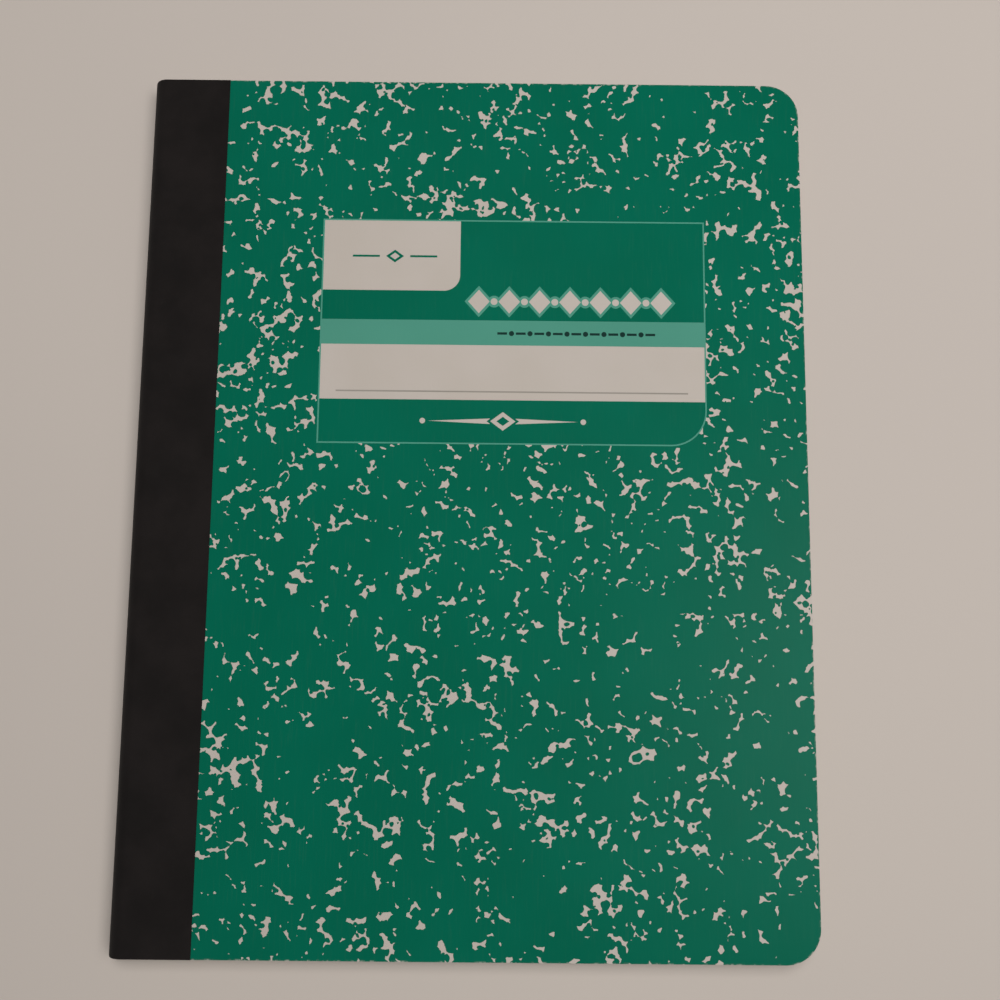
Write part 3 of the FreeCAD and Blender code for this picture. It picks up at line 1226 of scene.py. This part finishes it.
@dataclass
class NamePanel:
    """The printed panel on the front cover: a tab, a pale band, a writing line and plain ornament.

    Its sizes are measured from the spine edge and from the head.
    """

    spine_x: float
    head_y: float
    left: float = 52.05
    right: float = 162.05
    top: float = 42.55
    bottom: float = 108.15
    corner: float = 10.0
    line: float = 0.42
    tab: tuple[float, float, float] = (91.7, 63.6, 4.6)
    tint_top: float = 72.3
    band_top: float = 79.6
    band_bottom: float = 95.6
    writing_line: tuple[float, float, float, float] = (56.8, 92.97, 157.0, 93.42)

    def _spot(self, x: float, y: float) -> Point2:
        """A point from its distances to the spine edge and the head."""
        return self.spine_x + x, self.head_y - y

    def _panel(self, x0: float, y0: float, x1: float, y1: float, corner: float = 0.0) -> Panel:
        """A panel from distances to the spine edge and the head."""
        return Panel(*self._spot(x0, y1), *self._spot(x1, y0), corner)

    def frame(self) -> Panel:
        """The whole panel, to the outside of its thin border."""
        whole = self._panel(self.left, self.top, self.right, self.bottom, self.corner)
        return whole.grown(self.line / 2)

    @cached_property
    def layers(self) -> Layers:
        """What is printed on the panel, later ones over earlier ones."""
        low, high = self.left + self.line / 2, self.right - self.line / 2
        return [
            (self.frame(), Ink.TINT),
            (self.frame().grown(-self.line), Ink.GREEN),
            (self._panel(low, self.top + 0.2, *self.tab), Ink.BARE),
            (self._panel(low, self.tint_top, high, self.band_top), Ink.TINT),
            (self._panel(low, self.band_top, high, self.band_bottom), Ink.BARE),
            (self._panel(*self.writing_line), Ink.GREY),
            *self._tab_mark(),
            *self._chain(),
            *self._beads(),
            *self._swelled_rule(),
        ]

    def _tab_mark(self) -> Layers:
        """Two short green rules with a small diamond between them."""
        top, bottom, line = 53.1, 53.7, 0.7
        mark = Lozenge(*self._spot(72.8, 53.4), 2.6, 1.9)
        rules = [self._panel(x0, top, x1, bottom) for x0, x1 in ((60.6, 68.4), (77.2, 85.0))]
        made: Layers = [(patch, Ink.GREEN) for patch in (*rules, mark)]
        return made + [(mark.grown(-line), Ink.BARE)]

    def _chain(self) -> Layers:
        """A bold chain of diamonds and spots with a tinted edge."""
        y, count, start, end, edge = 66.7, 7, 97.2, 149.6, 0.75
        marks: list[Patch] = []
        for k in range(count):
            x, middle_y = self._spot(start + (end - start) * k / (count - 1), y)
            marks.append(Lozenge(x, middle_y, 3.1, 3.5))
            if k < count - 1:
                marks.append(Disc(x + (end - start) / (count - 1) / 2, middle_y, 1.0))
        made: Layers = [(mark.grown(edge), Ink.TINT) for mark in marks]
        return made + [(mark, Ink.BARE) for mark in marks]

    def _beads(self) -> Layers:
        """A fine dark row of dashes and dots on the tint."""
        y, count, start, pitch, half_dash, half_line = 76.1, 9, 104.0, 5.3, 1.4, 0.35
        made: Layers = []
        for k in range(count):
            x = start + pitch * k
            dash = self._panel(x - half_dash, y - half_line, x + half_dash, y + half_line)
            made.append((dash, Ink.DARK))
            if k < count - 1:
                made.append((Disc(*self._spot(x + pitch / 2, y), 0.75), Ink.DARK))
        return made

    def _swelled_rule(self) -> Layers:
        """A pale rule that swells to a diamond at its middle, with a spot off each end."""
        x, y = self._spot(104.4, 101.7)
        made: Layers = [
            (Lozenge(x, y, half_width, half_height), ink)
            for half_width, half_height, ink in (
                (21.4, 0.95, Ink.BARE),
                (4.6, 3.5, Ink.GREEN),
                (3.6, 2.7, Ink.BARE),
                (1.8, 1.3, Ink.GREEN),
            )
        ]
        return made + [(Disc(x + off, y, 0.8), Ink.BARE) for off in (-22.8, 22.8)]

    def ink_at(self, x: float, y: float) -> Ink | None:
        """The ink at a point, or None outside the panel."""
        if not self.frame().holds(x, y):
            return None
        return next((ink for patch, ink in reversed(self.layers) if patch.holds(x, y)), Ink.GREEN)


@dataclass(frozen=True)
class Drops:
    """One throw of paint drops: how far apart they land and how large they spread."""

    spacing: float
    jitter: float
    mean_radius: float
    spread: float
    apron: float = 6.0
    least: float = 0.15
    most: float = 9.0

    def throw(self, draw: np.random.Generator, low: Point2, high: Point2) -> np.ndarray:
        """Lands the drops over a rectangle and a little round it.

        Args:
            draw: The source of random numbers.
            low: The rectangle's low corner.
            high: Its high corner.

        Returns:
            The X, Y and radius of each drop, one row each.
        """
        across = np.arange(low[0] - self.apron, high[0] + self.apron, self.spacing)
        along = np.arange(low[1] - self.apron, high[1] + self.apron, self.spacing)
        grid_x, grid_y = np.meshgrid(across, along)
        stray = self.spacing * self.jitter
        x = grid_x.ravel() + draw.uniform(-stray, stray, grid_x.size)
        y = grid_y.ravel() + draw.uniform(-stray, stray, grid_x.size)
        radius = np.exp(draw.normal(math.log(self.mean_radius), self.spread, grid_x.size))
        return np.column_stack([x, y, np.clip(radius, self.least, self.most)])


@dataclass(frozen=True)
class Marbling:
    """The broken white veins left between the drops of a marbled paper."""

    ground: Drops = Drops(1.494, 1.026, 0.892, 0.533)
    holes: Drops = Drops(4.45, 1.0, 0.289, 0.45)
    warp: float = 0.366
    warp_pitch: float = 1.304
    rough: float = 0.193
    rough_pitch: float = 0.612
    vary: float = 0.154
    vary_pitch: float = 12.4
    soften: float = 0.06
    white_share: float = 0.093
    pitch: float = 0.2
    least_patch: float = 0.04
    most_gap: float = 3.0
    spare_room: float = 1.5

    @staticmethod
    def _soft_noise(
        draw: np.random.Generator, xs: np.ndarray, ys: np.ndarray, pitch: float
    ) -> np.ndarray:
        """Smooth noise of about -1 to 1 on a grid.

        Args:
            draw: The source of random numbers.
            xs: The grid's places across.
            ys: The grid's places along.
            pitch: The distance between the noise's own points.

        Returns:
            The noise, one row for each of ys.
        """

        def weights(places: np.ndarray) -> tuple[np.ndarray, np.ndarray]:
            """The first lattice point and the four spline weights of each place."""
            scaled = (places - places[0]) / pitch
            first = np.floor(scaled).astype(int)
            t = scaled - first
            parts = ((1 - t) ** 3, 3 * t**3 - 6 * t**2 + 4, -3 * t**3 + 3 * t**2 + 3 * t + 1, t**3)
            return first, np.stack(parts) / 6

        column, across = weights(xs)
        row, along = weights(ys)
        lattice = draw.uniform(-1, 1, (row[-1] + 4, column[-1] + 4))
        lined = sum(along[k][:, None] * lattice[row + k] for k in range(4))
        return 1.8 * sum(across[k][None, :] * lined[:, column + k] for k in range(4))

    @staticmethod
    def _softened(heights: np.ndarray, reach: float) -> np.ndarray:
        """The grid blurred by a small bell curve, reach in grid steps."""
        radius = max(int(3 * reach), 1)
        bell = np.exp(-0.5 * (np.arange(-radius, radius + 1) / reach) ** 2)
        bell /= bell.sum()
        for axis in (0, 1):
            pads = [(radius, radius) if axis == k else (0, 0) for k in (0, 1)]
            wide = np.pad(heights, pads, mode="edge")
            size = heights.shape[axis]
            heights = sum(
                w * np.take(wide, range(k, k + size), axis=axis) for k, w in enumerate(bell)
            )
        return heights

    def field(self, low: Point2, high: Point2, seed: int) -> tuple[np.ndarray, np.ndarray, np.ndarray]:
        """Lays the veins over a rectangle.

        Args:
            low: Its low corner.
            high: Its high corner.
            seed: Which of the endless patterns of this kind.

        Returns:
            The grid's places across and along, and a height that is above 0 on a white vein.
        """
        draw = np.random.default_rng(seed)
        xs = np.arange(low[0], high[0] + self.pitch, self.pitch)
        ys = np.arange(low[1], high[1] + self.pitch, self.pitch)
        warped_x = xs[None, :] + self.warp * self._soft_noise(draw, xs, ys, self.warp_pitch)
        warped_y = ys[:, None] + self.warp * self._soft_noise(draw, xs, ys, self.warp_pitch)
        heights = self._from_drops(warped_x, warped_y, self.ground.throw(draw, low, high), xs, ys)
        heights += self.vary * self._soft_noise(draw, xs, ys, self.vary_pitch)
        heights += self.rough * self._soft_noise(draw, xs, ys, self.rough_pitch)
        heights -= np.quantile(heights, 1 - self.white_share)
        holes = self._from_drops(warped_x, warped_y, self.holes.throw(draw, low, high), xs, ys)
        return xs, ys, self._softened(np.minimum(heights, holes), self.soften / self.pitch)

    def _from_drops(
        self,
        warped_x: np.ndarray,
        warped_y: np.ndarray,
        drops: np.ndarray,
        xs: np.ndarray,
        ys: np.ndarray,
    ) -> np.ndarray:
        """The distance of each grid point from the nearest drop, less than 0 inside one.

        Args:
            warped_x: The grid points' places across, pushed about a little.
            warped_y: Their places along.
            drops: The X, Y and radius of each drop.
            xs: The grid's own places across.
            ys: The grid's own places along.

        Returns:
            The distances, up to the most that is of use.
        """
        gaps = np.full((len(ys), len(xs)), self.most_gap)
        for x, y, radius in drops:
            room = radius + 2 * self.warp + self.spare_room
            i0, i1 = np.searchsorted(xs, (x - room, x + room))
            j0, j1 = np.searchsorted(ys, (y - room, y + room))
            if i0 < i1 and j0 < j1:
                gap = np.hypot(warped_x[j0:j1, i0:i1] - x, warped_y[j0:j1, i0:i1] - y) - radius
                np.minimum(gaps[j0:j1, i0:i1], gap, out=gaps[j0:j1, i0:i1])
        return gaps


@dataclass
class Tracing:
    """Points and lines that the cover's print is cut along."""

    points: list[Vector] = field(default_factory=list)
    lines: list[tuple[int, int]] = field(default_factory=list)

    def add_ring(self, ring: Sequence[Point2]) -> None:
        """Adds a closed outline."""
        first = len(self.points)
        self.points += [Vector(p) for p in ring]
        self.lines += [(first + k, first + (k + 1) % len(ring)) for k in range(len(ring))]

    def add_level(self, xs: np.ndarray, ys: np.ndarray, heights: np.ndarray) -> None:
        """Adds the lines along which a height on a grid is 0.

        Args:
            xs: The grid's places across.
            ys: The grid's places along.
            heights: The heights, one row for each of ys.
        """
        above = heights > 0
        crossing = -np.ones((2, *heights.shape), int)
        rows, columns = heights.shape
        for axis, (dj, di) in enumerate(((0, 1), (1, 0))):
            j, i = np.nonzero(above[dj:, di:] != above[: rows - dj, : columns - di])
            share = heights[j, i] / (heights[j, i] - heights[j + dj, i + di])
            crossing[axis, j, i] = len(self.points) + np.arange(len(j))
            across = xs[i] + share * (xs[i + di] - xs[i])
            along = ys[j] + share * (ys[j + dj] - ys[j])
            self.points += [Vector(p) for p in zip(across, along)]
        sides = np.stack(
            [crossing[0, :-1, :-1], crossing[1, :-1, :-1], crossing[0, 1:, :-1], crossing[1, :-1, 1:]]
        )
        crossed = (sides >= 0).sum(0)
        for j, i in zip(*np.nonzero(crossed)):
            found = [int(k) for k in sides[:, j, i] if k >= 0]
            self.lines += list(zip(found[::2], found[1::2]))

    def cut(self) -> tuple[np.ndarray, np.ndarray, np.ndarray]:
        """Cuts the plane into triangles along the lines.

        Returns:
            The points, the triangles, and the number of the region that each triangle is in, where
            regions are parted by the lines.
        """
        found = delaunay_2d_cdt(self.points, self.lines, [], 0, 1e-5)
        points = np.array([tuple(p) for p in found[0]], float)
        triangles = [tuple(face) for face in found[2]]
        walls = {frozenset(edge) for edge, source in zip(found[1], found[4]) if source}
        return points, np.array(triangles, int), self._regions(triangles, walls)

    @staticmethod
    def _regions(triangles: Sequence[tuple[int, int, int]], walls: set[frozenset[int]]) -> np.ndarray:
        """Numbers the regions that the lines part.

        Args:
            triangles: The triangles.
            walls: The edges that lie on a line.

        Returns:
            The region of each triangle.
        """
        beside: dict[frozenset[int], list[int]] = {}
        for number, (a, b, c) in enumerate(triangles):
            for edge in (frozenset((a, b)), frozenset((b, c)), frozenset((c, a))):
                if edge not in walls:
                    beside.setdefault(edge, []).append(number)
        near: list[list[int]] = [[] for _ in triangles]
        for first, *others in beside.values():
            for second in others:
                near[first].append(second)
                near[second].append(first)
        region = -np.ones(len(triangles), int)
        count = 0
        for start in range(len(triangles)):
            if region[start] >= 0:
                continue
            region[start] = count
            waiting = [start]
            while waiting:
                for other in near[waiting.pop()]:
                    if region[other] < 0:
                        region[other] = count
                        waiting.append(other)
            count += 1
        return region


@dataclass
class CoverPrint:
    """The marbled print of one cover, with the name panel where there is one."""

    sizes: BookSizes
    side: Side
    seed: int
    panel: NamePanel | None = None
    lift: float = 0.012
    corner_steps: int = 16
    border_cover: float = 0.6
    bake_border: float = 0.01
    marbling: Marbling = Marbling()

    def build(self, finishes: Mapping[Ink, bpy.types.Material]) -> list[bpy.types.Object]:
        """Makes one sheet for each ink.

        Args:
            finishes: The material of each ink.

        Returns:
            The sheets.
        """
        points, triangles, inks = self._print()
        made = []
        names = {Ink.GREEN: "marble_ink", Ink.TINT: "tint_ink", Ink.GREY: "line_ink", Ink.DARK: "bead_ink"}
        for ink, word in names.items():
            chosen = triangles[inks == ink.value]
            if not len(chosen):
                continue
            piece = self._sheet(f"{self.side.word}_{word}", points, chosen, finishes[ink])
            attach(piece, self.side.body)
            made.append(report(piece))
        return made

    def _ring(self) -> list[Point2]:
        """The printed part of the cover: from the tape's edge to the trimmed edge."""
        outline = self.sizes.outline
        ring = [(self.sizes.tape_edge_x, -outline.half_length)]
        bend_x, bend_y = outline.fore_x - outline.fore_radius, outline.half_length - outline.fore_radius
        for k in range(self.corner_steps + 1):
            angle = k * math.pi / (2 * self.corner_steps)
            x = bend_x + outline.fore_radius * math.sin(angle)
            ring.append((x, -bend_y - outline.fore_radius * math.cos(angle)))
        return ring + [(x, -y) for x, y in reversed(ring)]

    def _print(self) -> tuple[np.ndarray, np.ndarray, np.ndarray]:
        """Cuts the cover into inks.

        Returns:
            The points, the triangles and the ink number of each triangle, or -1 off the cover.
        """
        outline = self.sizes.outline
        low = (self.sizes.tape_edge_x - 1.0, -outline.half_length - 1.0)
        high = (outline.fore_x + 1.0, outline.half_length + 1.0)
        xs, ys, heights = self.marbling.field(low, high, self.seed)
        if self.panel is not None:
            heights = self._clear_panel(xs, ys, heights)
        tracing = Tracing()
        tracing.add_level(xs, ys, heights)
        tracing.add_ring(self._ring())
        if self.panel is not None:
            for patch, _ in self.panel.layers:
                tracing.add_ring(patch.outline())
        points, triangles, region = tracing.cut()
        corners = points[triangles]
        one, two = corners[:, 1] - corners[:, 0], corners[:, 2] - corners[:, 0]
        area = 0.5 * np.abs(one[:, 0] * two[:, 1] - one[:, 1] * two[:, 0])
        middles = corners.mean(1)
        order = np.lexsort((-area, region))
        firsts = order[np.unique(region[order], return_index=True)[1]]
        sizes = np.bincount(region, weights=area)
        inks = np.array([self._ink(middles[k], sizes[region[k]], xs, ys, heights) for k in firsts])
        return points, triangles, inks[region]

    def _clear_panel(self, xs: np.ndarray, ys: np.ndarray, heights: np.ndarray) -> np.ndarray:
        """Takes the veins off the name panel, a little inside its border."""
        frame = self.panel.frame().grown(-self.border_cover)
        inside = frame.holds(xs[None, :], ys[:, None])
        return np.where(inside, -np.abs(heights) - 0.01, heights)

    def _ink(
        self, middle: np.ndarray, size: float, xs: np.ndarray, ys: np.ndarray, heights: np.ndarray
    ) -> int:
        """The ink of a region.

        Args:
            middle: A point inside it.
            size: Its area, in square millimetres.
            xs: The marbling's places across.
            ys: The marbling's places along.
            heights: The marbling's heights.

        Returns:
            The ink's number, or -1 off the cover.
        """
        x, y = float(middle[0]), float(middle[1])
        outline = self.sizes.outline
        if x < self.sizes.tape_edge_x or x > outline.fore_x or abs(y) > outline.reach(x):
            return -1
        if self.panel is not None:
            found = self.panel.ink_at(x, y)
            if found is not None:
                return found.value
        i = min(max(int((x - xs[0]) / self.marbling.pitch), 0), len(xs) - 2)
        j = min(max(int((y - ys[0]) / self.marbling.pitch), 0), len(ys) - 2)
        a, b = (x - xs[i]) / self.marbling.pitch, (y - ys[j]) / self.marbling.pitch
        height = (1 - b) * ((1 - a) * heights[j, i] + a * heights[j, i + 1])
        height += b * ((1 - a) * heights[j + 1, i] + a * heights[j + 1, i + 1])
        bare = height > 0 and size > self.marbling.least_patch
        return Ink.BARE.value if bare else Ink.GREEN.value

    def _sheet(
        self, name: str, points: np.ndarray, triangles: np.ndarray, finish: bpy.types.Material
    ) -> bpy.types.Object:
        """Makes the sheet of one ink.

        Args:
            name: The piece's name.
            points: All points of the cut.
            triangles: The triangles of this ink.
            finish: Its material.

        Returns:
            The object.
        """
        used, flat = np.unique(triangles.ravel(), return_inverse=True)
        faces = flat.reshape(-1, 3)
        if self.side is Side.BACK:
            faces = faces[:, ::-1]
        z = self.sizes.mid_z + self.side.value * (self.sizes.board_outer + self.lift)
        placed = np.column_stack([points[used], np.full(len(used), z)]) * MM
        mesh = bpy.data.meshes.new(name)
        mesh.from_pydata(placed.tolist(), [], faces.tolist())
        corners = points[used][faces.ravel()]
        outline = self.sizes.outline
        low = np.array([self.sizes.tape_edge_x, -outline.half_length])
        span = 2 * outline.half_length
        add_map(mesh, PLAN_MAP, corners * MM)
        fill = 1 - 2 * self.bake_border
        add_map(mesh, BAKE_MAP, (corners - low) / span * fill + self.bake_border)
        mesh.materials.append(finish)
        mesh.update()
        return add_object(name, mesh)


@dataclass(frozen=True)
class SoftBox:
    """A square area lamp aimed at a point. One that isn't mirrored leaves no gloss."""

    name: str
    place: Point3
    aim: Point3
    size: float
    watts: float
    mirrored: bool = True

    def build(self) -> None:
        """Hangs the lamp."""
        light = bpy.data.lights.new(self.name, "AREA")
        light.shape = "SQUARE"
        light.size = self.size
        light.energy = self.watts
        lamp = add_object(self.name, light)
        lamp.location = self.place
        lamp.rotation_mode = "QUATERNION"
        down = Vector(self.aim) - Vector(self.place)
        lamp.rotation_quaternion = down.to_track_quat("-Z", "Y")
        lamp.visible_glossy = self.mirrored


@dataclass
class Studio:
    """The table, the lamps and the camera."""

    table_z: float = -0.3
    table_size: float = 6.0
    room: float = 0.2
    bounce: float = 0.45
    horizon: float = 0.05
    camera_place: Point3 = (8.25, -31.72, 273.3)
    camera_aim: Point3 = (8.58, -0.32, 9.0)
    camera_roll: float = 1.172
    lens: float = 34.2
    lamps: Sequence[SoftBox] = (
        SoftBox("right_box", (0.5, -0.14, 0.95), (0.0, 0.0, 0.0), 0.45, 1.93),
        SoftBox("side_fill", (0.42, 0.066, 0.8), (0.0, 0.0, 0.0), 0.3, 2.3, mirrored=False),
        SoftBox("head_fill", (0.03, 0.27, 0.8), (0.0, 0.0, 0.0), 0.3, 3.4, mirrored=False),
    )

    def build(self) -> None:
        """Sets up everything round the notebook."""
        self._table()
        self._sky()
        for lamp in self.lamps:
            lamp.build()
        self._camera()
        bpy.context.scene.view_settings.view_transform = "Standard"

    def _table(self) -> None:
        """Lays the table top."""
        half, z = self.table_size / 2, self.table_z * MM
        mesh = bpy.data.meshes.new("table_top")
        ring = [(-half, -half, z), (half, -half, z), (half, half, z), (-half, half, z)]
        mesh.from_pydata(ring, [], [(0, 1, 2, 3)])
        mesh.materials.append(TableTop().material())
        table = add_object("table_top", mesh)
        table.visible_diffuse = False

    def _sky(self) -> None:
        """Lights the room from all round, and from beneath as a pale table sends light back.

        The camera sees the table's own colour behind the notebook.
        """
        bench = Bench("room", bpy.data.worlds)
        way = bench.node("ShaderNodeTexCoord", {}, {}, "Generated")
        upwards = bench.node("ShaderNodeSeparateXYZ", {}, {0: way}, 2)
        level = bench.between(upwards, -self.horizon, self.horizon, self.bounce, self.room)
        room = bench.node(
            "ShaderNodeBackground", {}, {"Color": (1.0, 1.0, 1.0, 1.0), "Strength": level}
        )
        backdrop = bench.node("ShaderNodeBackground", {}, {"Color": TableTop().backdrop})
        seen = bench.node("ShaderNodeLightPath", {}, {}, "Is Camera Ray")
        mixed = bench.node("ShaderNodeMixShader", {}, {0: seen, 1: room, 2: backdrop})
        bench.node("ShaderNodeOutputWorld", {}, {"Surface": mixed})
        bpy.context.scene.world = bench.owner

    def _camera(self) -> None:
        """Hangs the camera over the notebook."""
        data = bpy.data.cameras.new("camera")
        data.lens = self.lens
        data.sensor_width = 36.0
        data.clip_start = 0.01
        camera = add_object("camera", data)
        place, aim = Vector(self.camera_place) * MM, Vector(self.camera_aim) * MM
        camera.location = place
        camera.rotation_mode = "QUATERNION"
        turn = (aim - place).to_track_quat("-Z", "Y")
        roll = Quaternion((0.0, 0.0, 1.0), math.radians(self.camera_roll))
        camera.rotation_quaternion = turn @ roll
        bpy.context.scene.camera = camera


def ink_finishes(outline: PlanOutline) -> dict[Ink, bpy.types.Material]:
    """The material of each ink."""
    inks = {
        Ink.GREEN: PrintedInk("ink_green", tone(0, 96, 74), tone(0, 92, 70)),
        Ink.TINT: PrintedInk("ink_tint", tone(76, 141, 122), tone(73, 137, 118)),
        Ink.GREY: PrintedInk("ink_grey", tone(146, 140, 131), tone(140, 134, 125)),
        Ink.DARK: PrintedInk("ink_dark", tone(24, 52, 46), tone(20, 46, 41)),
    }
    return {ink: finish.material(outline) for ink, finish in inks.items()}


def main() -> None:
    """Dresses the notebook and sets up the studio."""
    logging.basicConfig(level=logging.INFO, format="%(name)s %(message)s")
    sizes = BookSizes.measure()
    outline = sizes.outline
    finishes = ink_finishes(outline)
    panel = NamePanel(outline.spine_x, outline.half_length)
    pieces: list[bpy.types.Object] = []
    pieces += CoverBoards(sizes).build()
    pieces += BindingTape(sizes).build()
    pieces += LeafBlock(sizes).build()
    pieces += SewingThread(frame["nodes"]["sewing_thread"]).build()
    pieces += CoverPrint(sizes, Side.FRONT, 3, panel).build(finishes)
    pieces += CoverPrint(sizes, Side.BACK, 8).build(finishes)
    LOG.info("%d pieces", len(pieces))
    Studio().build()


if __name__ == "__main__":
    main()
